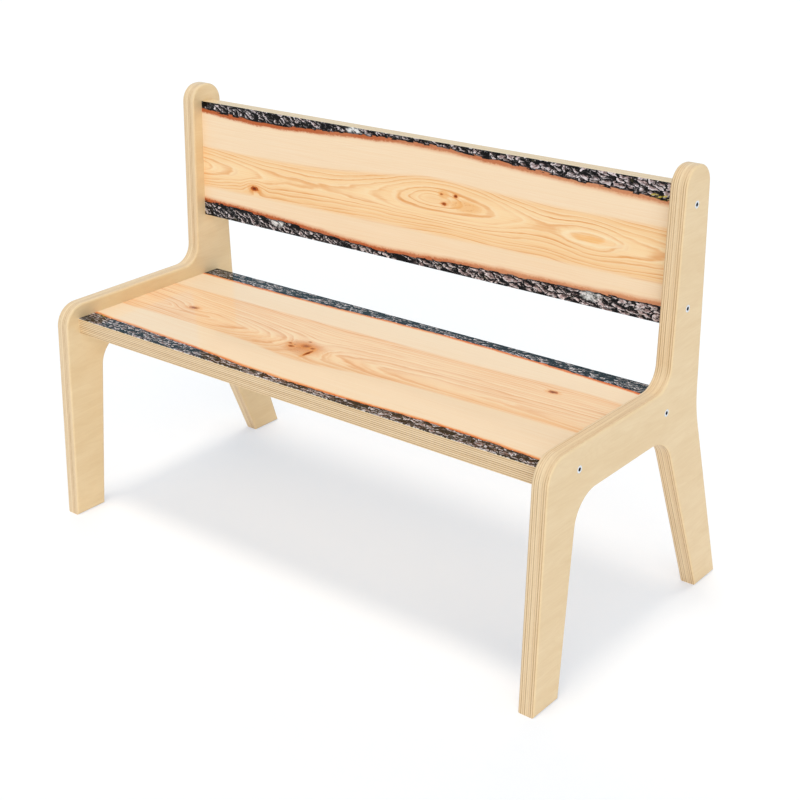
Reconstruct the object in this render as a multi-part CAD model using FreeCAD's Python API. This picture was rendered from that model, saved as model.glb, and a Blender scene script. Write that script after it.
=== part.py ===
import FreeCAD, Part
import math
import os

# A low bench of screwed plywood: two one-piece side frames carry a level seat board and a
# leaning back board, each faced with a thin printed laminate. Millimetres, +Z up, the front
# faces -Y. The origin is on the floor, midway between the frames and midway front to rear.

V = FreeCAD.Vector

# Sheet goods and overall width
OVERALL_WIDTH = 889.0
FRAME_SHEET = 24.0
SEAT_SHEET = 24.0
BACK_SHEET = 24.0
LAMINATE = 0.8

# Seat and back boards
SEAT_HEIGHT = 315.0
SEAT_FRONT = 45.6
SEAT_DEPTH = 286.0
BACK_GAP = 95.8
BACK_SETBACK = 18.3
BACK_TOP_DROP = 25.0
BACK_LEAN = 3.5
BOARD_EASE = 0.8

# Side frame outline; lengths run rearwards from the front toe, leans are degrees off upright
FOOT_SPAN = 450.0
FRONT_FOOT_WIDTH = 54.0
REAR_FOOT_WIDTH = 55.0
FRONT_LEG_FRONT_LEAN = 4.15
FRONT_LEG_REAR_LEAN = 7.0
RAIL_RISE = 21.0
RAIL_DEPTH = 69.0
POST_RISE = 279.5
POST_SEAT_LAP = 38.8
POST_WIDTH = 74.2
KNEE_DROP = 50.5

# Side frame rounds
FRONT_CORNER_ROUND = 35.0
SEAT_NOOK_ROUND = 31.0
POST_TOP_ROUND = 27.0
KNEE_ROUND = 180.0
FRONT_ARCH_ROUND = 44.0
REAR_ARCH_ROUND = 52.0
EDGE_ROUND = 3.2

# Connector screws, two into each end of a board
SEAT_SCREW_INSET = 43.0
BACK_SCREW_INSET = 23.5
SCREW_DEPTH = 10.0
SCREW_LENGTH = 50.0
SCREW_DIAMETER = 7.0
HEAD_DIAMETER = 10.0
HEAD_SINK = 0.3
SOCKET_ACROSS_FLATS = 5.0
SOCKET_DEPTH = 2.6
SCREW_PLAY = 0.1
PILOT_END_PLAY = 1.0

# Sizes that follow from the ones above
LEAN = math.radians(BACK_LEAN)
RAIL_TOP = SEAT_HEIGHT + RAIL_RISE
FRAME_HEIGHT = RAIL_TOP + POST_RISE
RAIL_UNDERSIDE = RAIL_TOP - RAIL_DEPTH
KNEE_HEIGHT = RAIL_TOP - KNEE_DROP
POST_FRONT = SEAT_FRONT + SEAT_DEPTH - POST_SEAT_LAP
POST_REAR = POST_FRONT + POST_WIDTH
BACK_TOP = FRAME_HEIGHT - BACK_TOP_DROP
BACK_HEIGHT = (BACK_TOP - SEAT_HEIGHT - BACK_GAP) / math.cos(LEAN)
FRAME_OUTER_X = OVERALL_WIDTH / 2
FRAME_INNER_X = FRAME_OUTER_X - FRAME_SHEET
TOE_Y = -FOOT_SPAN / 2


def run(lean_degrees, height):
    """Distance covered on the level by a line that leans this far off upright."""
    return height * math.tan(math.radians(lean_degrees))


def rounded_face(corners):
    """A face in the YZ plane from corners (y, z, radius), each radius above zero a tangent arc."""
    points = [V(0, TOE_Y + y, z) for y, z, _ in corners]
    edges = []
    starts = []
    ends = []
    for i, (_, _, radius) in enumerate(corners):
        corner = points[i]
        back = (points[i - 1] - corner).normalize()
        ahead = (points[(i + 1) % len(points)] - corner).normalize()
        half = back.getAngle(ahead) / 2
        tangent = radius / math.tan(half)
        middle = (back + ahead).normalize() * (radius / math.sin(half) - radius)
        starts.append(corner + back * tangent)
        ends.append(corner + ahead * tangent)
        if radius:
            edges.append(Part.Arc(starts[i], corner + middle, ends[i]).toShape())
        if i:
            edges.append(Part.makeLine(ends[i - 1], starts[i]))
    edges.append(Part.makeLine(ends[-1], starts[0]))
    return Part.Face(Part.Wire(Part.__sortEdges__(edges)))


def frame_corners():
    """The side frame's outline, clockwise from the front toe as seen from the right."""
    post_top_front = POST_FRONT + run(BACK_LEAN, POST_RISE)
    front_arch = FRONT_FOOT_WIDTH + run(FRONT_LEG_REAR_LEAN, RAIL_UNDERSIDE)
    top_round = min(POST_TOP_ROUND, 0.47 * (POST_REAR - post_top_front))
    return [
        (0.0, 0.0, 0.0),
        (run(FRONT_LEG_FRONT_LEAN, RAIL_TOP), RAIL_TOP, FRONT_CORNER_ROUND),
        (POST_FRONT, RAIL_TOP, SEAT_NOOK_ROUND),
        (post_top_front, FRAME_HEIGHT, top_round),
        (POST_REAR, FRAME_HEIGHT, top_round),
        (POST_REAR, KNEE_HEIGHT, KNEE_ROUND),
        (FOOT_SPAN, 0.0, 0.0),
        (FOOT_SPAN - REAR_FOOT_WIDTH, 0.0, 0.0),
        (POST_FRONT, RAIL_UNDERSIDE, REAR_ARCH_ROUND),
        (front_arch, RAIL_UNDERSIDE, FRONT_ARCH_ROUND),
        (FRONT_FOOT_WIDTH, 0.0, 0.0),
    ]


def back_placement():
    """Puts a board, drawn standing with its printed face on Y = 0, at the back's lean."""
    post_y = POST_FRONT + run(BACK_LEAN, BACK_TOP - RAIL_TOP)
    top_y = TOE_Y + post_y + BACK_SETBACK / math.cos(LEAN)
    foot = V(0, top_y - BACK_HEIGHT * math.sin(LEAN), BACK_TOP - BACK_HEIGHT * math.cos(LEAN))
    return FreeCAD.Placement(foot, FreeCAD.Rotation(V(1, 0, 0), -BACK_LEAN))


def board(depth_from, depth, height):
    """A board between the frames, its faces square to Y and its lower edge on Z = 0."""
    corner = V(-FRAME_INNER_X, depth_from, 0)
    return Part.makeBox(2 * FRAME_INNER_X, depth, height, corner)


def eased(shape, plane_axis, level):
    """Rounds over the long edges that lie on the board's bare face."""
    edges = []
    for edge in shape.Edges:
        along = edge.tangentAt(edge.FirstParameter)
        if abs(along.x) > 0.99 and abs(getattr(edge.CenterOfMass, plane_axis) - level) < 1e-6:
            edges.append(edge)
    return shape.makeFillet(BOARD_EASE, edges)


def seat_screw_points():
    """Middle of each seat screw's path in the YZ plane."""
    level = SEAT_HEIGHT - LAMINATE - SCREW_DEPTH
    front = TOE_Y + SEAT_FRONT
    ys = (front + SEAT_SCREW_INSET, front + SEAT_DEPTH - SEAT_SCREW_INSET)
    return [V(0, y, level) for y in ys]


def back_screw_points():
    """Middle of each back screw's path in the YZ plane."""
    place = back_placement()
    heights = (BACK_SCREW_INSET, BACK_HEIGHT - BACK_SCREW_INSET)
    return [place.multVec(V(0, LAMINATE + SCREW_DEPTH, h)) for h in heights]


def turned(profile, centre):
    """Turns a profile of (distance in from the frame's outer face, radius) about the X line."""
    points = [V(FRAME_OUTER_X - inwards, radius, 0) for inwards, radius in profile]
    face = Part.Face(Part.makePolygon(points + [points[0]]))
    solid = face.revolve(V(0, 0, 0), V(1, 0, 0), 360)
    solid.translate(centre)
    return solid


def screw_profile(play, mouth, end):
    """Half section from mouth to end of a screw, or of its hole when play is added."""
    shank = SCREW_DIAMETER / 2 + play
    cone_end = HEAD_SINK + (HEAD_DIAMETER - SCREW_DIAMETER) / 2
    return [(mouth, 0), (mouth, shank + cone_end - mouth), (cone_end, shank), (end, shank), (end, 0)]


def screw(centre):
    """A one-piece connector: sunk conical head with a hexagon socket, and a plain shank."""
    body = turned(screw_profile(0, HEAD_SINK, HEAD_SINK + SCREW_LENGTH), centre)
    corner_radius = SOCKET_ACROSS_FLATS / math.sqrt(3)
    angles = [math.radians(60 * k) for k in range(7)]
    hexagon = [V(0, corner_radius * math.cos(a), corner_radius * math.sin(a)) for a in angles]
    socket = Part.Face(Part.makePolygon(hexagon)).extrude(V(SOCKET_DEPTH, 0, 0))
    socket.translate(V(FRAME_OUTER_X - HEAD_SINK - SOCKET_DEPTH, centre.y, centre.z))
    return body.cut(socket)


def screw_hole(centre):
    """Sunk hole through the frame and on into the end of a board."""
    end = HEAD_SINK + SCREW_LENGTH + PILOT_END_PLAY
    return turned(screw_profile(SCREW_PLAY, -HEAD_SINK, end), centre)


def mirrored(shape):
    """The same piece for the other side of the bench."""
    return shape.mirror(V(0, 0, 0), V(1, 0, 0))


def side_frame():
    """Right side frame: one outline cut from the sheet, edges rounded over on both faces."""
    blank = rounded_face(frame_corners()).extrude(V(FRAME_SHEET, 0, 0))
    blank.translate(V(FRAME_INNER_X, 0, 0))
    middle = FRAME_OUTER_X - FRAME_SHEET / 2
    rims = [e for e in blank.Edges if abs(abs(e.CenterOfMass.x - middle) - FRAME_SHEET / 2) < 1e-6]
    frame = blank.makeFillet(EDGE_ROUND, rims)
    for centre in seat_screw_points() + back_screw_points():
        frame = frame.cut(screw_hole(centre))
    return frame


def drilled(shape, centres):
    """Bores the screws' holes into both ends of a board."""
    for centre in centres:
        hole = screw_hole(centre)
        shape = shape.cut(hole).cut(mirrored(hole))
    return shape


def seat_board():
    """Level plywood seat, butted between the frames."""
    underside = SEAT_HEIGHT - LAMINATE - SEAT_SHEET
    shape = board(TOE_Y + SEAT_FRONT, SEAT_DEPTH, SEAT_SHEET)
    shape.translate(V(0, 0, underside))
    return drilled(eased(shape, "z", underside), seat_screw_points())


def seat_laminate():
    """Printed sheet bonded to the top of the seat."""
    shape = board(TOE_Y + SEAT_FRONT, SEAT_DEPTH, LAMINATE)
    shape.translate(V(0, 0, SEAT_HEIGHT - LAMINATE))
    return shape


def back_board():
    """Leaning plywood back, butted between the posts."""
    shape = eased(board(LAMINATE, BACK_SHEET, BACK_HEIGHT), "y", LAMINATE + BACK_SHEET)
    shape.Placement = back_placement()
    return drilled(shape, back_screw_points())


def back_laminate():
    """Printed sheet bonded to the front of the back board."""
    shape = board(0, LAMINATE, BACK_HEIGHT)
    shape.Placement = back_placement()
    return shape


def screw_group(centres):
    """The screws that enter one end of a board, as separate solids of one node."""
    return Part.makeCompound([screw(centre) for centre in centres])


def build():
    """Every piece by its node's name."""
    frame = side_frame()
    seat_screws = screw_group(seat_screw_points())
    back_screws = screw_group(back_screw_points())
    return {
        "right_side_frame": frame,
        "left_side_frame": mirrored(frame),
        "seat_board": seat_board(),
        "seat_laminate": seat_laminate(),
        "back_board": back_board(),
        "back_laminate": back_laminate(),
        "right_seat_screws": seat_screws,
        "left_seat_screws": mirrored(seat_screws),
        "right_back_screws": back_screws,
        "left_back_screws": mirrored(back_screws),
    }


os.makedirs("parts", exist_ok=True)
for node, shape in build().items():
    shape.exportStep(f"parts/{node}.step")
    box = shape.BoundBox
    print(f"{node}: {len(shape.Solids)} solid, valid {shape.isValid()}, {shape.Volume / 1000:.1f} cm3, "
          f"{box.XLength:.1f} x {box.YLength:.1f} x {box.ZLength:.1f}")
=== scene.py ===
"""Finishes and studio for the live edge bench: birch plywood, printed pine with bark, zinc screws."""

import math

import bpy
import numpy as np
from mathutils import Matrix, Vector


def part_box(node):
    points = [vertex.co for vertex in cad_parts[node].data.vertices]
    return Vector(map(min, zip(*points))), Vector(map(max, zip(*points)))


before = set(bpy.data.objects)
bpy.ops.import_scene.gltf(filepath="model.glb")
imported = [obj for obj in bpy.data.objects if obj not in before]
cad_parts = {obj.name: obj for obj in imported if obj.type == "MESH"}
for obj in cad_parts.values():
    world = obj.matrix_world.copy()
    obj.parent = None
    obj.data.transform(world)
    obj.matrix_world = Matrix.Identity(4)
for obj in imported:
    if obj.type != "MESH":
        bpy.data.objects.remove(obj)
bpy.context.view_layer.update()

MM = 0.001

# Camera, as the photograph was taken: metres, degrees, and millimetres for the lens
CAMERA_PLACE = (1.28102, -1.44726, 1.07964)
CAMERA_AZIMUTH = 40.275
CAMERA_ELEVATION = 23.815
CAMERA_ROLL = -1.508
CAMERA_LENS = 65.98
CAMERA_REACH = 100.0
SENSOR_WIDTH = 36.0

# Studio light, in shares of the light that shows a colour as it is written, with angles in degrees
SKY_SHARE = 0.57
TOP_SHARE = 0.31
TOP_SPREAD = 13.0
TOP_AZIMUTH = 0.0
TOP_ELEVATION = 85.0
FRONT_SHARE = 0.425
FRONT_SPREAD = 60.0
FRONT_AZIMUTH = 42.0
FRONT_ELEVATION = 20.0
FILL_SHARE = 0.24
FILL_SPREAD = 60.0
FILL_AZIMUTH = 222.0
FILL_ELEVATION = 20.0
WHITE_SKY = (1.0, 1.0, 1.0, 1.0)
GLOSS_SKY = (0.40, 0.62, 0.74, 1.0)
FLOOR_HALF_WIDTH = 20.0
FLOOR_WHITE = (0.92, 0.92, 0.92, 1.0)
FLOOR_SEEN = (0.80, 0.72, 0.62, 1.0)
FLOOR_LIFT = (0.22, 0.32, 0.438, 1.0)

# Plywood: millimetres, a ply's share taken by glue, and each sheet's part of the noise
SHEET = 24.0
PLY_COUNT = 17
GLUE_SHARE = 0.07
RIGHT_FRAME_SEED = 3.0
LEFT_FRAME_SEED = 11.0
SEAT_SEED = 23.0
BACK_SEED = 37.0

# Birch noise, in millimetres: some cells as (length, width, thickness)
GRAIN_LENGTH = 70.0
GRAIN_WIDTH = 2.2
PORE = (14.0, 0.5, 0.5)
CLOUD = (160.0, 45.0, 30.0)
SPECKLE = (6.0, 6.0, 0.7)
FLAME_LENGTH = 55.0
FLAME_WIDTH = 13.0
FLAME_SLANT = 60.0
FIGURE_LENGTH = 240.0
FIGURE_WIDTH = 48.0
FADING_WIDTH = 90.0

# Boards: millimetres and degrees, with the height that the full range of a curve stands for
BOARD_WIDTH = 841.0
SEAT_DEPTH = 286.0
BACK_HEIGHT = 180.0
BACK_LEAN = 3.5
CURVE_REACH = 300.0

# Pine and bark noise: cells as (length, width), in millimetres
DRIFT = (210.0, 46.0)
RIPPLE = (46.0, 10.0)
STREAK = (150.0, 1.5)
GRIME = (4.2, 2.6)
FADE = (110.0, 14.0)
FIBRE = (14.0, 1.3)
FLUSH = (130.0, 60.0)
HAZE = (40.0, 40.0)
EDGE_WANDER = (44.0, 60.0)
EDGE_SCALLOP = (11.0, 9.0)
PLATE = (10.0, 4.6)
PLATE_WARP = (16.0, 7.0)
PLATE_BEND = (13.0, 6.0)
CRUMB = (5.0, 2.4)
BROAD_TONE = (22.0, 9.0)
RUST_SPOT = (9.0, 6.0)
MOSS_SPOT = (18.0, 9.0)
CRACK = (7.0, 3.0)
CURL = (11.0, 7.0)
YEARS_WIDTH = 9.0

# How far some noises are moved, in millimetres, so that they don't follow the others
BEND_SHIFT = 65.0
RUST_SHIFT = 27.0
MOSS_SHIFT = 126.0
FADE_SHIFT = 126.0
FLUSH_SHIFT = 240.0

# Surfaces: shares, with the relief and the mottle in millimetres
COAT_SHARE = 0.12
COAT_ROUGHNESS = 0.25
BIRCH_ROUGHNESS = 0.43
BIRCH_RELIEF = 0.05
PRINT_ROUGHNESS = 0.09
ZINC_ROUGHNESS = 0.3
ZINC_MOTTLE = 1.5

# Screws: how far below the head's face the socket's painted shade starts and is full, in millimetres
SOCKET_DIM = 0.35
SOCKET_DARK = 1.3


def srgb(red, green, blue):
    """A colour given as 0 to 255 screen values, as the linear colour that a shader takes."""
    screen = np.array((red, green, blue)) / 255.0
    linear = np.where(screen <= 0.04045, screen / 12.92, ((screen + 0.055) / 1.055) ** 2.4)
    return (*[float(value) for value in linear], 1.0)


# Birch, light tone first
FACE_VENEER = (srgb(242, 218, 176), srgb(231, 202, 155))
CONTOUR_LINE = srgb(220, 184, 132)
VENEER_PORE = srgb(210, 172, 120)
LONG_PLY = (srgb(249, 228, 191), srgb(224, 191, 143))
END_PLY = (srgb(214, 178, 130), srgb(160, 118, 74))
GLUE_LINE = srgb(132, 98, 62)
# Painted sheen for edges that face up, light tone first
PAINTED_TOP_SHEEN = (srgb(250, 225, 185), srgb(222, 184, 138))

# Pine and bark that both prints share
SAPWOOD = (srgb(251, 230, 200), srgb(248, 222, 186))
SAP_LINE = srgb(232, 184, 134)
EARLY_WOOD = srgb(255, 236, 200)
KNOT_HALO = srgb(240, 164, 84)
KNOT_BODY = srgb(190, 98, 36)
KNOT_HEART = srgb(112, 46, 14)
PLATE_SHADE = srgb(24, 20, 22)
BARK_CRUMB = srgb(116, 96, 94)
PALE_TIP = srgb(232, 228, 224)
PALE_LICHEN = srgb(232, 236, 238)
YELLOW_LICHEN = srgb(206, 186, 48)

# Zinc, dull tone first
ZINC = (srgb(214, 220, 226), srgb(236, 240, 244))
# Painted shade for the hex sockets
PAINTED_SOCKET_SHADE = srgb(50, 48, 46)

# Printed boards, in millimetres: places run along from the middle and across from the far edge.
# Each line is a list of (along, distance): bark lines from their own edge, the heart and pith lines from
# the far edge, and slice as the cut's height above the pith. Eyes, burls and lichen are ovals of
# (along, across, half width, half height). A swirl adds its lift, and a knot its darkness. The plates'
# turn, lighter right and flush left are changes for each millimetre along.
SEAT_PRINT = {
    "height": SEAT_DEPTH,
    "bark_far": [(-420, 30), (-170, 28), (80, 20), (240, 24), (420, 35)],
    "bark_near": [(-420, 33), (-205, 25), (-60, 16), (80, 17), (255, 25), (420, 18)],
    "heart_far": [(-420, 88), (-60, 83), (200, 78), (310, 72), (420, 76)],
    "heart_near": [(-420, 203), (-170, 202), (-40, 213), (25, 205), (100, 193), (260, 184), (420, 181)],
    "pith": [(-420, 160), (-63, 172), (60, 166), (420, 158)],
    "slice": [(-420, 6), (-300, 11), (-200, 20), (-120, 32), (-63, 40), (-10, 36), (60, 31), (200, 27),
              (420, 23)],
    "swirls": [(-63, 172, 34, 22, 6), (-313, 151, 24, 10, 12), (305, 94, 18, 9, 10)],
    "knots": [(-313, 151, 10, 5.0, 0.6), (305, 94, 7.5, 4.0, 0.8), (-46, 184, 3.0, 11.0, 1.0),
              (-66, 166, 9.0, 6.0, 0.5), (-84, 178, 6.0, 3.5, 0.7), (-93, 170, 4.0, 2.5, 0.7),
              (-72, 151, 3.0, 2.0, 0.6), (-52, 168, 4.5, 3.0, 0.7)],
    "burls": [(-66, 172, 36, 24), (-66, 168, 17, 12)],
    "burl_tone": srgb(222, 146, 88),
    "burl_fleck": srgb(150, 82, 46),
    "eyes": [],
    "flatness": 0.9,
    "ring_width": 5.2,
    "thin_ring": 5.0,
    "line_weight": 0.55,
    "late_wood": srgb(220, 138, 72),
    "heartwood": (srgb(254, 226, 186), srgb(250, 208, 162)),
    "heart_rim": srgb(242, 186, 132),
    "cambium": 3.8,
    "cambium_light": srgb(246, 178, 112),
    "cambium_dark": srgb(226, 112, 42),
    "flush_left": 0.0,
    "plate_size": 1.15,
    "plate_lean": -0.15,
    "plate_turn": 0.0,
    "bark_cover": 0.46,
    "ragged": 0.4,
    "lighter_right": 0.0,
    "lighter_near": 0.36,
    "near_rust": 0.45,
    "dark_lip": 0.0,
    "pale_tips": 0.85,
    "furrow": srgb(8, 6, 6),
    "moss": srgb(70, 40, 30),
    "bark_tone": srgb(156, 134, 130),
    "rust": srgb(156, 94, 68),
    "bark_rind": srgb(244, 238, 240),
    "pale_lichen": [],
    "yellow_lichen": [(-396, 254, 22, 5)],
    "gloss": 0.13,
}

BACK_PRINT = {
    "height": BACK_HEIGHT,
    "bark_far": [(-420, 14), (-295, 20), (-150, 15), (15, 9), (160, 15), (280, 21), (420, 26)],
    "bark_near": [(-420, 26), (-230, 20), (-70, 12.5), (130, 20), (300, 23), (420, 26)],
    "heart_far": [(-420, 70), (-150, 66), (-40, 57), (35, 50), (120, 53), (250, 56), (420, 56)],
    "heart_near": [(-420, 134), (0, 131), (420, 129)],
    "pith": [(-420, 100), (-150, 96), (-60, 88), (55, 79), (170, 84), (304, 91), (420, 92)],
    "slice": [(-420, 9), (-330, 19), (-240, 24), (-60, 21), (0, 11), (55, 2), (110, 10), (170, 20),
              (230, 25), (304, 21), (360, 26), (420, 29)],
    "swirls": [(72, 77, 30, 16, 6), (-308, 121, 16, 8, 9)],
    "knots": [(57, 71, 3.0, 1.6, 0.6), (82, 70, 3.6, 2.4, 0.9), (62, 84, 4.6, 2.4, 0.9),
              (-308, 121, 8.5, 4.0, 1.0)],
    "burls": [(98, 82, 34, 9), (61, 71, 11, 7)],
    "burl_tone": srgb(244, 186, 116),
    "burl_fleck": srgb(214, 138, 72),
    "eyes": [(304, 91, 34, 6.5)],
    "eye_tone": srgb(250, 188, 104),
    "flatness": 0.95,
    "ring_width": 4.2,
    "thin_ring": 2.9,
    "line_weight": 0.90,
    "late_wood": srgb(226, 150, 74),
    "heartwood": (srgb(255, 228, 184), srgb(251, 214, 162)),
    "heart_rim": srgb(244, 198, 142),
    "cambium": 4.8,
    "cambium_light": srgb(226, 166, 120),
    "cambium_dark": srgb(186, 98, 54),
    "flush_left": 0.0008,
    "plate_size": 1.45,
    "plate_lean": 0.30,
    "plate_turn": 0.00025,
    "bark_cover": 0.57,
    "ragged": 0.7,
    "lighter_right": 0.0008,
    "lighter_near": 0.0,
    "near_rust": 0.0,
    "dark_lip": 0.8,
    "pale_tips": 0.0,
    "furrow": srgb(6, 6, 7),
    "moss": srgb(100, 94, 56),
    "bark_tone": srgb(188, 163, 163),
    "rust": srgb(150, 112, 96),
    "bark_rind": srgb(244, 236, 240),
    "pale_lichen": [(307, 164, 16, 9), (-260, 165, 14, 8), (-105, 5, 14, 6)],
    "yellow_lichen": [(404, 21, 26, 5)],
    "gloss": 0.10,
}


class Field:
    """A number that varies over a surface. Arithmetic on it adds Math nodes to its finish."""

    def __init__(self, finish, socket):
        self.finish = finish
        self.socket = socket

    def __add__(self, other):
        return self.finish.math("ADD", self, other)

    def __sub__(self, other):
        return self.finish.math("SUBTRACT", self, other)

    def __rsub__(self, other):
        return self.finish.math("SUBTRACT", other, self)

    def __mul__(self, other):
        return self.finish.math("MULTIPLY", self, other)

    def __truediv__(self, other):
        return self.finish.math("DIVIDE", self, other)

    def __pow__(self, other):
        return self.finish.math("POWER", self, other)

    def __abs__(self):
        return self.finish.math("ABSOLUTE", self)

    def root(self):
        return self.finish.math("SQRT", self)

    def floor(self):
        return self.finish.math("FLOOR", self)

    def fraction(self):
        return self.finish.math("FRACT", self)

    def least(self, other):
        return self.finish.math("MINIMUM", self, other)

    def most(self, other):
        return self.finish.math("MAXIMUM", self, other)

    def rise(self, low, high):
        """0 below low, 1 above high and a smooth step between; high below low makes it fall instead."""
        node = self.finish.node("ShaderNodeMapRange", interpolation_type="SMOOTHSTEP")
        self.finish.feed(node.inputs["Value"], self)
        falls = high < low
        node.inputs["From Min"].default_value = min(low, high)
        node.inputs["From Max"].default_value = max(low, high)
        node.inputs["To Min"].default_value = 1.0 if falls else 0.0
        node.inputs["To Max"].default_value = 0.0 if falls else 1.0
        return Field(self.finish, node.outputs["Result"])


class Finish:
    """A material's node tree, with short words for the nodes that a finish is mixed from."""

    def __init__(self, name):
        self.material = bpy.data.materials.new(name)
        self.material.use_nodes = True
        self.tree = self.material.node_tree
        self.tree.nodes.clear()
        self.shader = self.node("ShaderNodeBsdfPrincipled")
        output = self.node("ShaderNodeOutputMaterial")
        self.tree.links.new(self.shader.outputs["BSDF"], output.inputs["Surface"])

    def node(self, kind, **settings):
        made = self.tree.nodes.new(kind)
        for key, value in settings.items():
            setattr(made, key, value)
        return made

    def feed(self, socket, value):
        """Links a field or a socket, or sets a plain value."""
        if isinstance(value, Field):
            value = value.socket
        if isinstance(value, bpy.types.NodeSocket):
            self.tree.links.new(value, socket)
        else:
            socket.default_value = value

    def surface(self, **values):
        """Feeds the shader's sockets by their names, with an underscore for each space."""
        for name, value in values.items():
            self.feed(self.shader.inputs[name.replace("_", " ")], value)

    def math(self, operation, *values):
        made = self.node("ShaderNodeMath", operation=operation)
        for socket, value in zip(made.inputs, values):
            self.feed(socket, value)
        return Field(self, made.outputs[0])

    def place(self, corner, turn):
        """Object coordinates measured from a corner, in millimetres along the turned axes."""
        where = self.node("ShaderNodeTexCoord")
        mapping = self.node("ShaderNodeMapping", vector_type="TEXTURE")
        mapping.inputs["Location"].default_value = corner
        mapping.inputs["Rotation"].default_value = turn.to_euler()
        mapping.inputs["Scale"].default_value = (MM, MM, MM)
        self.feed(mapping.inputs["Vector"], where.outputs["Object"])
        parts = self.node("ShaderNodeSeparateXYZ")
        self.feed(parts.inputs[0], mapping.outputs["Vector"])
        return [Field(self, socket) for socket in parts.outputs]

    def facing_up(self):
        """The upward share of the surface's normal, 1 on a level top."""
        parts = self.node("ShaderNodeSeparateXYZ")
        self.feed(parts.inputs[0], self.node("ShaderNodeNewGeometry").outputs["Normal"])
        return Field(self, parts.outputs[2])

    def vector(self, x, y, z=0.0):
        made = self.node("ShaderNodeCombineXYZ")
        for socket, value in zip(made.inputs, (x, y, z)):
            self.feed(socket, value)
        return made.outputs[0]

    def noise(self, vector, detail=2.0, roughness=0.5, twist=0.0):
        """Soft noise about 0, from about -0.5 to 0.5, one cell to a unit of the vector."""
        made = self.node("ShaderNodeTexNoise")
        self.feed(made.inputs["Vector"], vector)
        made.inputs["Scale"].default_value = 1.0
        made.inputs["Detail"].default_value = detail
        made.inputs["Roughness"].default_value = roughness
        made.inputs["Distortion"].default_value = twist
        return Field(self, made.outputs[0]) - 0.5

    def streaks(self, along, across, cell, detail=2.0, roughness=0.5, twist=0.0):
        """Flat noise with cells of a length and a width in millimetres."""
        length, width = cell
        return self.noise(self.vector(along / length, across / width), detail, roughness, twist)

    def cells(self, vector):
        """Flat Voronoi cells, one to a unit: gap to the cell's rim, a random number, place in the cell."""
        rim = self.node("ShaderNodeTexVoronoi", voronoi_dimensions="2D", feature="DISTANCE_TO_EDGE")
        body = self.node("ShaderNodeTexVoronoi", voronoi_dimensions="2D", feature="F1")
        for made in (rim, body):
            self.feed(made.inputs["Vector"], vector)
            made.inputs["Scale"].default_value = 1.0
        lot = self.node("ShaderNodeSeparateColor")
        self.feed(lot.inputs[0], body.outputs["Color"])
        offset = self.node("ShaderNodeVectorMath", operation="SUBTRACT")
        self.feed(offset.inputs[0], vector)
        self.feed(offset.inputs[1], body.outputs["Position"])
        parts = self.node("ShaderNodeSeparateXYZ")
        self.feed(parts.inputs[0], offset.outputs[0])
        sockets = (rim.outputs["Distance"], lot.outputs[0], parts.outputs[0], parts.outputs[1])
        return [Field(self, socket) for socket in sockets]

    def chance(self, number):
        """A random number from 0 to 1 for each value of a number."""
        made = self.node("ShaderNodeTexWhiteNoise", noise_dimensions="1D")
        self.feed(made.inputs["W"], number)
        return Field(self, made.outputs["Value"])

    def curve(self, along, points):
        """A smooth curve through points (place along the board, height), all in millimetres."""
        made = self.node("ShaderNodeFloatCurve")
        line = made.mapping.curves[0]
        while len(line.points) < len(points):
            line.points.new(0.5, 0.5)
        for handle, (place, height) in zip(line.points, sorted(points)):
            handle.location = (place / BOARD_WIDTH + 0.5, height / CURVE_REACH)
        made.mapping.update()
        self.feed(made.inputs["Value"], along / BOARD_WIDTH + 0.5)
        return Field(self, made.outputs[0]) * CURVE_REACH

    def mix(self, share, first, second):
        """A colour that goes from the first to the second as the share goes from 0 to 1."""
        made = self.node("ShaderNodeMix", data_type="RGBA")
        self.feed(made.inputs[0], share)
        self.feed(made.inputs[6], first)
        self.feed(made.inputs[7], second)
        return made.outputs[2]

    def relief(self, height, depth):
        """Bump from a height field, for a surface whose full height is depth millimetres."""
        made = self.node("ShaderNodeBump")
        made.inputs["Strength"].default_value = 1.0
        made.inputs["Distance"].default_value = depth * MM
        self.feed(made.inputs["Height"], height)
        self.surface(Normal=made.outputs["Normal"])


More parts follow.
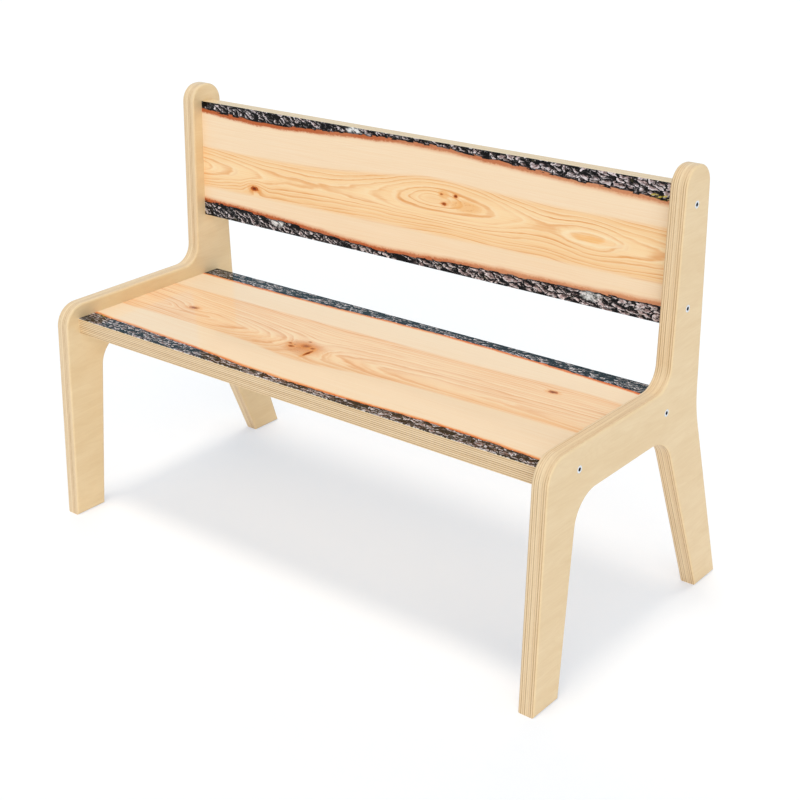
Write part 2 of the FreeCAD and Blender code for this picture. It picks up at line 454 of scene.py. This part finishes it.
class BirchSheet:
    """A birch plywood sheet as a solid stack of plies.

    The depth through the sheet, divided by a ply's thickness, gives the ply's number. Grain runs along
    the sheet in even plies and across it in odd ones, as noise drawn out along that direction, so a cut
    edge shows long grain and end grain in turn. The seed takes another part of every noise.
    """

    def __init__(self, finish, corner, turn, seed):
        self.finish = finish
        self.seed = seed
        self.along, self.across, self.depth = finish.place(corner, turn)
        layer = self.depth / (SHEET / PLY_COUNT)
        self.number = layer.floor().most(0.0).least(PLY_COUNT - 1.0)
        self.from_middle = abs(layer - self.number - 0.5)
        self.crosswise = ((self.number * 0.5).fraction() * 2.0).rise(0.2, 0.8)
        self.long_grain = self.grain(GRAIN_LENGTH, GRAIN_WIDTH)
        cross_grain = self.grain(GRAIN_WIDTH, GRAIN_LENGTH)
        self.ply_grain = self.long_grain * (1.0 - self.crosswise) + cross_grain * self.crosswise
        self.pores = self.solid_noise(PORE, 2.0, 0.6)

    def grain(self, length, width):
        """Grain noise with cells of a length along the sheet and a width across it."""
        place = self.finish.vector(self.along / length, self.across / width + self.seed,
                                   self.depth / GRAIN_WIDTH)
        return self.finish.noise(place, 3.0, 0.6)

    def solid_noise(self, cell, detail, roughness, twist=0.0):
        """Noise in all three directions with cells of a length, a width and a thickness."""
        length, width, thickness = cell
        place = self.finish.vector(self.along / length, self.across / width,
                                   self.depth / thickness + self.seed)
        return self.finish.noise(place, detail, roughness, twist)

    def veneer(self):
        """Rotary-cut face veneer: clouds, flames, faint contours as a noise's fraction, and pores."""
        finish = self.finish
        cloud = self.solid_noise(CLOUD, 2.0, 0.5, 0.6)
        flame_along = self.along / FLAME_LENGTH + self.across / FLAME_SLANT
        flame_place = finish.vector(flame_along, self.across / FLAME_WIDTH, self.seed)
        flame = finish.noise(flame_place, 3.0, 0.6, 0.8)
        figure_across = self.across / FIGURE_WIDTH + self.seed
        figure_place = finish.vector(self.along / FIGURE_LENGTH, figure_across, self.seed)
        figure = finish.noise(figure_place, 3.0, 0.45)
        contour = (figure * 16.0 + self.long_grain * 0.25).fraction()
        tone = (cloud * 0.8 + flame * 0.7 + self.long_grain * 0.3 + 0.5).rise(0.0, 1.0)
        line = contour.rise(0.25, 0.95) * contour.rise(1.0, 0.95)
        colour = finish.mix(tone, *FACE_VENEER)
        colour = finish.mix(line * 0.10, colour, CONTOUR_LINE)
        return finish.mix(self.pores.rise(0.10, 0.32) * 0.24, colour, VENEER_PORE)

    def plies(self, line_depth, unevenness):
        """Inner plies: pale long grain and darker end grain in turn, with a glue line at each ply's rim.

        Unevenness sets how far the plies differ in tone, and line depth how dark their end grain is, each
        ply by its own chance. On a surface that faces up, a painted sheen, lighter and plainer, covers the
        plies.
        """
        finish = self.finish
        fading_place = finish.vector(self.along / FADING_WIDTH, self.across / FADING_WIDTH,
                                     self.number * 3.7 + self.seed)
        fading = finish.noise(fading_place, 2.0, 0.5)
        speckle = self.solid_noise(SPECKLE, 3.0, 0.65)
        own_tone = finish.chance(self.number + self.seed) - 0.5
        tone = own_tone * unevenness + fading * 0.8 + 0.5
        own_depth = (finish.chance(self.number + self.seed + 0.5) * 0.9 + 0.4) * line_depth
        long_ply = finish.mix(tone + self.ply_grain * 0.5 + speckle * 0.7 - 0.1, *LONG_PLY)
        end_ply = finish.mix(tone + self.ply_grain * 0.7 + speckle, *END_PLY)
        end_share = self.crosswise * self.from_middle.rise(0.49, 0.32) * own_depth
        colour = finish.mix(end_share, long_ply, end_ply)
        glue = self.from_middle.rise(0.5 - GLUE_SHARE, 0.5)
        colour = finish.mix(glue * 0.30, colour, GLUE_LINE)
        # Painted sheen: where the surface faces up, a lighter and plainer colour covers the ply lines
        painted_top_sheen = finish.mix(tone + speckle * 1.4 + fading * 0.5, *PAINTED_TOP_SHEEN)
        return finish.mix(finish.facing_up().rise(0.25, 0.75) * 0.6, colour, painted_top_sheen)


def birch_plywood(name, corner, turn, seed, line_depth=0.70, unevenness=0.5):
    """Satin-lacquered birch plywood: face veneer on the first and last plies, the cut plies between."""
    finish = Finish(name)
    sheet = BirchSheet(finish, corner, turn, seed)
    middle = (PLY_COUNT - 1) / 2.0
    outward = (sheet.number - middle) / middle
    skin = (outward * outward).rise(0.93, 0.99)
    colour = finish.mix(skin, sheet.plies(line_depth, unevenness), sheet.veneer())
    finish.surface(Base_Color=colour, Roughness=sheet.ply_grain * 0.16 + BIRCH_ROUGHNESS)
    finish.surface(Coat_Weight=COAT_SHARE, Coat_Roughness=COAT_ROUGHNESS)
    finish.relief(sheet.pores * 0.6 + sheet.ply_grain, BIRCH_RELIEF)
    return finish.material


class PineBoard:
    """A plain-sawn pine board with bark on its two long edges, as its layout describes it."""

    def __init__(self, finish, corner, turn, layout):
        self.finish = finish
        self.layout = layout
        self.along, self.across, _ = finish.place(corner, turn)
        self.from_near = layout["height"] - self.across
        self.near_half = self.across.rise(layout["height"] * 0.4, layout["height"] * 0.6)
        self.drift = self.streaks(DRIFT)
        self.ripple = self.streaks(RIPPLE)
        self.streak = self.streaks(STREAK, 3.0, 0.6)
        self.grime = self.streaks(GRIME, 4.0, 0.65, 0.5)
        self.wood_gap = self.gap_to_bark()
        self.plates = self.bark_plates()
        self.bark_gap = self.wood_gap + self.jut() + layout["cambium"] * 0.7

    def streaks(self, cell, *character):
        """Noise on the board with cells of a length and a width, then detail, roughness and twist."""
        return self.finish.streaks(self.along, self.across, cell, *character)

    def line(self, name):
        """Height of one of the layout's lines at each place along the board."""
        return self.finish.curve(self.along, self.layout[name])

    def oval(self, place, height, half_width, half_height, sway=0.0):
        """Distance from an oval's centre, 1 on its rim. A sway shifts it across the board."""
        sideways = (self.along - place) / half_width
        upwards = (self.across + sway - height) / half_height
        return (sideways ** 2 + upwards ** 2).root()

    def gap_to_bark(self):
        """Distance into the wood from the nearer bark line, with a slow wander."""
        wander = self.streaks(EDGE_WANDER, 3.0, 0.55) * 4.0
        far_gap = self.across - self.line("bark_far")
        near_gap = self.from_near - self.line("bark_near")
        return far_gap.least(near_gap) + wander

    def bark_plates(self):
        """Ragged Voronoi cells as bark plates, whose slant turns along the board.

        Gives the gap to a plate's rim, a random number for each plate, the way down it, and fine crumbs.
        """
        finish = self.finish
        lean = self.layout["plate_lean"] - self.along * self.layout["plate_turn"]
        along = self.along / self.layout["plate_size"]
        across = self.across / self.layout["plate_size"]
        lengthways = along + across * lean * 1.2
        crossways = across - along * lean
        crumb = finish.streaks(lengthways, crossways, CRUMB, 5.0, 0.7)
        warp = finish.streaks(along, across, PLATE_WARP, 2.0, 0.6) + crumb * 0.25
        bend = finish.streaks(along + BEND_SHIFT, across, PLATE_BEND, 2.0, 0.6) + crumb * 0.25
        length, width = PLATE
        spread = finish.vector(lengthways / length + warp * 1.9, crossways / width + bend * 2.2)
        gap, lot, beside, below = finish.cells(spread)
        return gap, lot, below - beside * 0.3, crumb

    def jut(self):
        """How far each plate and a fine scallop push the bark's edge into the wood."""
        scallop = self.streaks(EDGE_SCALLOP, 3.0, 0.6) * 8.0
        _, lot, _, _ = self.plates
        return ((lot - 0.5) * 4.0 + scallop * 0.4) * self.layout["ragged"]

    def rings(self):
        """Shares of late wood, early wood and thin lines.

        The ring number at a place is its distance from the pith line and the slice's height above the
        pith, taken together as a hypotenuse, over the ring width: level stretches give parallel lines, and
        a slope in the slice's height gives pointed arches. Swirls lift the slice round each knot. Each ring
        darkens slowly to its late wood and ends sharply.
        """
        finish = self.finish
        pith_gap = (self.across - self.line("pith") + self.drift * 8.0) * self.layout["flatness"]
        slice_height = self.line("slice") + self.ripple * 1.6
        for *oval, lift in self.layout["swirls"]:
            slice_height = slice_height + self.oval(*oval).rise(2.2, 0.0) * lift
        radius = (pith_gap * pith_gap + slice_height * slice_height).root()
        years = finish.noise(finish.vector(radius / YEARS_WIDTH, 3.0))
        wobble = self.drift * 1.2 + self.ripple * 0.3 + self.streak * 0.16
        ring = radius / self.layout["ring_width"] + years * 2.2 + wobble
        ring_number = ring.floor()
        stage = ring - ring_number
        fade = finish.streaks(self.along, self.across + FADE_SHIFT, FADE).rise(-0.28, 0.22)
        strength = (finish.chance(ring_number) * 0.75 + 0.25) * (fade * 0.75 + 0.25)
        late_wood = stage.rise(0.55, 0.86) * stage.rise(1.0, 0.88) * strength
        early_wood = stage.rise(0.36, 0.04)
        thin_wobble = years * 5.0 + self.drift * 3.0 + self.streak * 0.4
        thin = (radius / self.layout["thin_ring"] + thin_wobble).fraction()
        thin_line = thin.rise(0.55, 0.90) * thin.rise(1.0, 0.90) * fade
        return late_wood, early_wood, thin_line

    def clear_wood(self):
        """Pale sapwood outside the heart lines and ringed heartwood, with darker rims, between them."""
        finish = self.finish
        layout = self.layout
        late_wood, early_wood, thin_line = self.rings()
        heart_far = self.across - self.line("heart_far") + self.drift * 4.0 + self.streak
        heart_near = self.line("heart_near") - self.across + self.drift * 4.0 + self.streak
        heart = heart_far.rise(-2.5, 4.0) * heart_near.rise(-2.5, 4.0)
        sap = finish.mix((self.streak + 0.5).rise(0.2, 0.8), *SAPWOOD)
        sap = finish.mix(late_wood * 0.08 + thin_line * 0.05, sap, SAP_LINE)
        heartwood = finish.mix((self.streak * 1.4 + self.drift + 0.5).rise(0.1, 0.9), *layout["heartwood"])
        heartwood = finish.mix(heart_far.rise(24.0, 0.0) * 0.45, heartwood, layout["heart_rim"])
        heartwood = finish.mix(heart_near.rise(34.0, 0.0) * 0.45, heartwood, layout["heart_rim"])
        heartwood = finish.mix(early_wood * 0.40, heartwood, EARLY_WOOD)
        heartwood = finish.mix(thin_line * 0.20, heartwood, layout["late_wood"])
        heartwood = finish.mix(late_wood * layout["line_weight"], heartwood, layout["late_wood"])
        return finish.mix(heart, sap, heartwood)

    def marked_wood(self):
        """The wood with its eyes in a pale ring, its flecked burls, and its knots that darken inwards."""
        finish = self.finish
        layout = self.layout
        wood = self.clear_wood()
        for oval in layout["eyes"]:
            eye = self.oval(*oval, sway=self.ripple * 6.0)
            wood = finish.mix(eye.rise(1.2, 0.3) * (self.streak * 1.6 + 0.5), wood, layout["eye_tone"])
            wood = finish.mix(eye.rise(1.05, 1.2) * eye.rise(1.5, 1.3) * 0.6, wood, EARLY_WOOD)
        for oval in layout["burls"]:
            burl = (self.oval(*oval) + self.grime * 0.6).rise(1.2, 0.5)
            wood = finish.mix(burl * 0.65, wood, layout["burl_tone"])
            wood = finish.mix(burl * self.grime.rise(0.05, 0.18) * 0.70, wood, layout["burl_fleck"])
        for *oval, darkness in layout["knots"]:
            around = self.oval(*oval) + self.grime * 1.3
            wood = finish.mix(around.rise(2.2, 1.0) * 0.6 * darkness, wood, KNOT_HALO)
            wood = finish.mix(around.rise(1.10, 0.85) * darkness, wood, KNOT_BODY)
            wood = finish.mix(around.rise(0.70, 0.30) * darkness, wood, KNOT_HEART)
        return wood

    def edged_wood(self):
        """The wood with its reddish inner bark, a band beside the bark that widens and fades by turns."""
        finish = self.finish
        layout = self.layout
        fibre = self.streaks(FIBRE, 3.0, 0.6)
        band = (self.wood_gap + self.ripple * 2.0) / layout["cambium"] + fibre * 0.5
        flush = finish.streaks(self.along, self.across + FLUSH_SHIFT, FLUSH)
        flush = (flush - self.along * layout["flush_left"]).rise(-0.30, 0.20)
        widened = flush * (1.0 - self.near_half) * 0.35
        inner_bark = (band + self.grime * 1.4 - widened).rise(0.50, -0.25) * (flush * 0.45 + 0.55)
        wood = finish.mix(band.rise(1.4, 0.1) * 0.75, self.marked_wood(), layout["cambium_light"])
        return finish.mix(inner_bark, wood, layout["cambium_dark"])

    def plate_colour(self, light, broad):
        """A bark plate: dark above, rusty in spots, bright at its lower rim and split by thin cracks."""
        finish = self.finish
        layout = self.layout
        gap, lot, down, crumb = self.plates
        body = (crumb * 3.0 + down + lot * 0.6 + broad * 1.1 + light).rise(0.0, 1.0)
        rust = finish.streaks(self.along + RUST_SHIFT, self.across, RUST_SPOT, 3.0, 0.6).rise(0.02, 0.2)
        rust = rust * 0.6 + self.near_half * layout["near_rust"]
        rind = gap.rise(0.42, 0.16) * (down + crumb * 0.6).rise(-0.10, 0.16)
        fold_along = self.along - self.across * 0.5
        fold_across = self.across + self.along * 0.2
        crack = abs(finish.streaks(fold_along, fold_across, CRACK, 2.0, 0.6, 0.6)).rise(0.05, 0.015)
        colour = finish.mix(body, PLATE_SHADE, finish.mix(rust, layout["bark_tone"], layout["rust"]))
        colour = finish.mix(rind * (crumb + 0.5).rise(0.15, 0.6), colour, layout["bark_rind"])
        return finish.mix(crack * 0.65, colour, layout["furrow"])

    def bark(self):
        """Curled plates over black furrows with crumbs.

        A plate shows where its random number, swayed by a broad noise, passes what the bark's cover leaves
        bare. Thin bright curls follow the zero line of a twisted noise. Moss and lichen lie over them in
        spots, pale tips stand along the near edge, and a dark lip follows the wood.
        """
        finish = self.finish
        layout = self.layout
        gap, lot, _, crumb = self.plates
        broad = self.streaks(BROAD_TONE)
        light = self.along * layout["lighter_right"] + (self.near_half - 0.5) * layout["lighter_near"]
        rim = self.across.least(self.from_near).rise(5.0, 0.0)
        bare = 0.62 - layout["bark_cover"]
        shown = (lot + broad * 0.9 - rim * 0.30 + light * 0.5).rise(bare, bare + 0.25)
        lifted = shown * (gap + crumb * 0.16).rise(0.08, 0.15)
        swirl_along = self.along + self.across * 0.5
        swirl_across = self.across - self.along * 0.4
        curl = abs(finish.streaks(swirl_along, swirl_across, CURL, 3.0, 0.6, 1.4)).rise(0.030, 0.006)
        curl = curl * (crumb + broad * 0.6).rise(-0.02, 0.20)
        moss = finish.streaks(self.along + MOSS_SHIFT, self.across, MOSS_SPOT, 3.0, 0.6).rise(0.10, 0.22)
        tips = (self.from_near + self.grime * 9.0 + 1.2).rise(1.5, 0.5) * layout["pale_tips"]
        lip = (self.bark_gap + self.grime * 2.0).rise(-3.2, -1.0) * layout["dark_lip"]
        lumps = crumb + gap * 0.3

        colour = finish.mix(crumb.rise(0.10, 0.32) * 0.5, layout["furrow"], BARK_CRUMB)
        colour = finish.mix(lifted, colour, self.plate_colour(light, broad))
        colour = finish.mix(curl * 0.75, colour, layout["bark_rind"])
        colour = finish.mix(moss * (crumb + 0.5).rise(0.3, 0.7) * 0.5, colour, layout["moss"])
        for oval in layout["yellow_lichen"]:
            patch = (self.oval(*oval) + self.grime).rise(1.15, 0.7)
            colour = finish.mix(patch * lumps.rise(0.02, 0.14) * 0.9, colour, YELLOW_LICHEN)
        for oval in layout["pale_lichen"]:
            patch = (self.oval(*oval) + self.grime).rise(1.15, 0.7)
            colour = finish.mix(patch * lumps.rise(-0.12, 0.16), colour, PALE_LICHEN)
        colour = finish.mix(tips, colour, PALE_TIP)
        return finish.mix(lip, colour, layout["furrow"])


def pine_print(name, corner, turn, layout):
    """Glossy laminate printed with a pine board. Bark takes over where its ragged edge passes the wood."""
    finish = Finish(name)
    board = PineBoard(finish, corner, turn, layout)
    colour = finish.mix(board.bark_gap.rise(0.4, -0.4), board.edged_wood(), board.bark())
    haze = board.streaks(HAZE)
    finish.surface(Base_Color=colour, Roughness=haze * 0.05 + PRINT_ROUGHNESS)
    finish.surface(Specular_IOR_Level=layout["gloss"])
    return finish.material


def zinc_plate(name, face_x):
    """Bright, faintly mottled zinc with painted shade in the hex socket, below the head's face at face_x.
    """
    finish = Finish(name)
    along, across, depth = finish.place((0.0, 0.0, 0.0), Matrix.Identity(3))
    shade = abs(along).rise(face_x - SOCKET_DIM, face_x - SOCKET_DARK)
    spread = finish.vector(along / ZINC_MOTTLE, across / ZINC_MOTTLE, depth / ZINC_MOTTLE)
    mottle = finish.noise(spread, 3.0, 0.6)
    bright = finish.mix(mottle + 0.5, *ZINC)
    colour = finish.mix(shade, bright, PAINTED_SOCKET_SHADE)
    finish.surface(Base_Color=colour, Metallic=1.0, Roughness=mottle * 0.2 + ZINC_ROUGHNESS)
    return finish.material


def wear(node, material):
    """Gives a CAD node its finish on every slot."""
    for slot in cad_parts[node].material_slots:
        slot.material = material


def dress_frames():
    """Side frames: plies stack outwards from each frame's inner face."""
    right_low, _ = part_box("right_side_frame")
    _, left_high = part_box("left_side_frame")
    rightwards = Matrix(((0, 0, 1), (1, 0, 0), (0, 1, 0)))
    leftwards = Matrix(((0, 0, -1), (-1, 0, 0), (0, 1, 0)))
    right = birch_plywood("right_frame_birch", (right_low.x, 0, 0), rightwards, RIGHT_FRAME_SEED)
    left = birch_plywood("left_frame_birch", (left_high.x, 0, 0), leftwards, LEFT_FRAME_SEED)
    wear("right_side_frame", right)
    wear("left_side_frame", left)


def dress_seat():
    """Seat: plies stack up from the underside, and the print starts at the rear edge."""
    low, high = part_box("seat_board")
    board = birch_plywood("seat_birch", (0, 0, low.z), Matrix.Identity(3), SEAT_SEED,
                          line_depth=1.15, unevenness=0.45)
    laid = Matrix(((1, 0, 0), (0, -1, 0), (0, 0, -1)))
    wear("seat_board", board)
    wear("seat_laminate", pine_print("seat_print", (0, high.y, high.z), laid, SEAT_PRINT))


def dress_back():
    """Back: both finishes lean with the board, and the print starts at the top edge."""
    _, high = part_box("back_laminate")
    top = (0, high.y, high.z)
    lean = math.radians(BACK_LEAN)
    along = Vector((1, 0, 0))
    down = Vector((0, -math.sin(lean), -math.cos(lean)))
    inwards = Vector((0, math.cos(lean), -math.sin(lean)))
    hung = Matrix((along, down, along.cross(down))).transposed()
    stacked = Matrix((along, inwards.cross(along), inwards)).transposed()
    wear("back_laminate", pine_print("back_print", top, hung, BACK_PRINT))
    wear("back_board", birch_plywood("back_birch", top, stacked, BACK_SEED, line_depth=0.28))


def dress_screws():
    """Screws: one zinc for all, with the socket's painted shade measured from the heads' faces."""
    zinc = zinc_plate("zinc_screws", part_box("right_seat_screws")[1].x / MM)
    for node in ("right_seat_screws", "left_seat_screws", "right_back_screws", "left_back_screws"):
        wear(node, zinc)


def add_node(tree, kind, **values):
    """A new node with some of its input sockets set."""
    made = tree.nodes.new(kind)
    for socket, value in values.items():
        made.inputs[socket].default_value = value
    return made


def looked_at(tree):
    """1 for what the camera sees, by itself or in a reflection or through glass, and 0 for light."""
    path = tree.nodes.new("ShaderNodeLightPath")
    first = tree.nodes.new("ShaderNodeMath")
    second = tree.nodes.new("ShaderNodeMath")
    first.operation = "MAXIMUM"
    second.operation = "MAXIMUM"
    tree.links.new(path.outputs["Is Camera Ray"], first.inputs[0])
    tree.links.new(path.outputs["Is Glossy Ray"], first.inputs[1])
    tree.links.new(first.outputs[0], second.inputs[0])
    tree.links.new(path.outputs["Is Transmission Ray"], second.inputs[1])
    return second.outputs[0]


def light_or_look(tree, lighting, seen, output_kind):
    """Sends one shader to the light and another to what is looked at."""
    choice = tree.nodes.new("ShaderNodeMixShader")
    output = tree.nodes.new(output_kind)
    tree.links.new(looked_at(tree), choice.inputs[0])
    tree.links.new(lighting.outputs[0], choice.inputs[1])
    tree.links.new(seen.outputs[0], choice.inputs[2])
    tree.links.new(choice.outputs[0], output.inputs["Surface"])


def studio_floor():
    """A wide floor at the feet, four flat squares: white paper to the light, lifted to white in view."""
    reach = np.linspace(-FLOOR_HALF_WIDTH, FLOOR_HALF_WIDTH, 3)
    x, y = np.meshgrid(reach, reach)
    corners = np.stack((x, y, np.zeros_like(x)), axis=-1).reshape(-1, 3)
    first = np.array((0, 1, 3, 4))
    faces = first[:, None] + np.array((0, 1, 4, 3))
    mesh = bpy.data.meshes.new("studio_floor")
    mesh.from_pydata(corners.tolist(), [], faces.tolist())
    floor = bpy.data.objects.new("studio_floor", mesh)
    bpy.context.scene.collection.objects.link(floor)

    material = bpy.data.materials.new("white_floor")
    material.use_nodes = True
    tree = material.node_tree
    tree.nodes.clear()
    paper = add_node(tree, "ShaderNodeBsdfDiffuse", Color=FLOOR_WHITE)
    seen_paper = add_node(tree, "ShaderNodeBsdfDiffuse", Color=FLOOR_SEEN)
    lift = add_node(tree, "ShaderNodeEmission", Color=FLOOR_LIFT)
    seen = add_node(tree, "ShaderNodeAddShader")
    tree.links.new(seen_paper.outputs[0], seen.inputs[0])
    tree.links.new(lift.outputs[0], seen.inputs[1])
    light_or_look(tree, paper, seen, "ShaderNodeOutputMaterial")
    mesh.materials.append(material)


def studio_sky():
    """A white surround: plain light on the bench, white to the camera, dimmer and bluer in reflections."""
    world = bpy.data.worlds.new("studio_sky")
    bpy.context.scene.world = world
    world.use_nodes = True
    tree = world.node_tree
    tree.nodes.clear()
    plain = add_node(tree, "ShaderNodeBackground", Strength=SKY_SHARE)
    shown = add_node(tree, "ShaderNodeBackground")
    path = add_node(tree, "ShaderNodeLightPath")
    tint = add_node(tree, "ShaderNodeMix")
    tint.data_type = "RGBA"
    tint.inputs[6].default_value = WHITE_SKY
    tint.inputs[7].default_value = GLOSS_SKY
    tree.links.new(path.outputs["Is Glossy Ray"], tint.inputs[0])
    tree.links.new(tint.outputs[2], shown.inputs["Color"])
    light_or_look(tree, plain, shown, "ShaderNodeOutputWorld")


def lamp(name, share, spread, azimuth, elevation):
    """A wide sun that reflections leave out. A share of 1 alone shows a colour facing it as written."""
    light = bpy.data.lights.new(name, "SUN")
    light.energy = share * math.pi
    light.angle = math.radians(spread)
    holder = bpy.data.objects.new(name, light)
    turn = math.radians(azimuth)
    tilt = math.radians(elevation)
    towards = Vector((math.sin(turn) * math.cos(tilt), -math.cos(turn) * math.cos(tilt), math.sin(tilt)))
    holder.rotation_euler = towards.to_track_quat("Z", "Y").to_euler()
    holder.visible_glossy = False
    bpy.context.scene.collection.objects.link(holder)


def studio_camera():
    """The photograph's viewpoint: azimuth from the front, elevation above level, and a slight roll."""
    camera = bpy.data.cameras.new("studio_camera")
    camera.lens = CAMERA_LENS
    camera.sensor_width = SENSOR_WIDTH
    camera.clip_end = CAMERA_REACH
    holder = bpy.data.objects.new("studio_camera", camera)
    upright = Matrix.Rotation(math.radians(CAMERA_AZIMUTH), 4, "Z")
    tilted = Matrix.Rotation(math.radians(90.0 - CAMERA_ELEVATION), 4, "X")
    rolled = Matrix.Rotation(math.radians(CAMERA_ROLL), 4, "Z")
    holder.matrix_world = Matrix.Translation(CAMERA_PLACE) @ upright @ tilted @ rolled
    bpy.context.scene.collection.objects.link(holder)
    bpy.context.scene.camera = holder


dress_frames()
dress_seat()
dress_back()
dress_screws()
studio_floor()
studio_sky()
lamp("top_light", TOP_SHARE, TOP_SPREAD, TOP_AZIMUTH, TOP_ELEVATION)
lamp("front_light", FRONT_SHARE, FRONT_SPREAD, FRONT_AZIMUTH, FRONT_ELEVATION)
lamp("fill_light", FILL_SHARE, FILL_SPREAD, FILL_AZIMUTH, FILL_ELEVATION)
studio_camera()
bpy.context.scene.view_settings.view_transform = "Standard"
